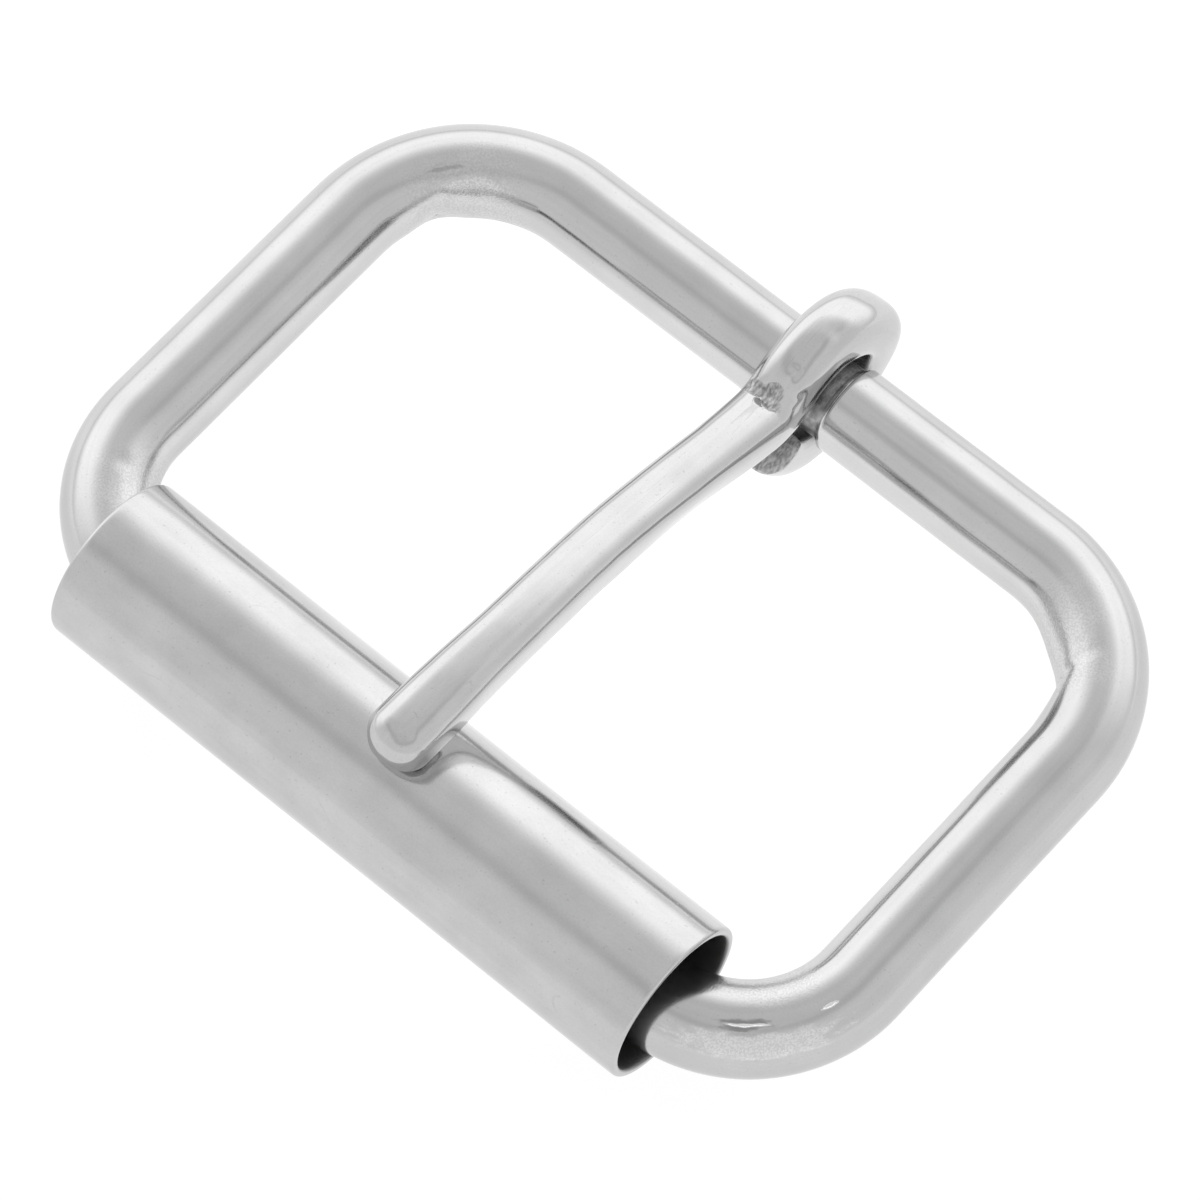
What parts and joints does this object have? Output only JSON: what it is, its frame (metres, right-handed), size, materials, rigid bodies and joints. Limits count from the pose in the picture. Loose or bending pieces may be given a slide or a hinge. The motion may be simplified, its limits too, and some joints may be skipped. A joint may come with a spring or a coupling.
{
  "type": "belt buckle",
  "caption": "Heel-bar roller buckle: rounded rectangular wire frame, a loose tube roller on the front bar and an arched tongue curled round the heel bar.",
  "frame": {"origin": "middle of the whole buckle in X and Y, at the height of its lowest point, which is the underside of the tongue's curl", "axes": "+X along the heel bar and the roller, +Y from the roller to the heel bar, +Z out of the front of the buckle, the side the tongue's tip rests on"},
  "size_m": [0.051, 0.04, 0.0136],
  "materials": {
    "frame_metal": "polished wire, finely grained on its bends",
    "roller_metal": "bright polish over fine drawing lines",
    "tongue_metal": "bright polish, rough in the pressed neck and on the cut end"
  },
  "bodies": {
    "frame_body": {"buckle_frame": "frame_metal"},
    "roller_body": {"roller": "roller_metal"},
    "tongue_body": {"tongue": "tongue_metal"}
  },
  "joints": [
    {"name": "roller_spin", "type": "hinge", "parent": "frame_body", "child": "roller_body", "pos_m": [-0.0007, -0.01558, 0.00635], "axis": [1, 0, 0], "continuous": true},
    {"name": "tongue_swing", "type": "hinge", "parent": "frame_body", "child": "tongue_body", "pos_m": [0.0004, 0.01482, 0.0052], "axis": [-1, 0, 0], "range_deg": [0, 336]}
  ]
}
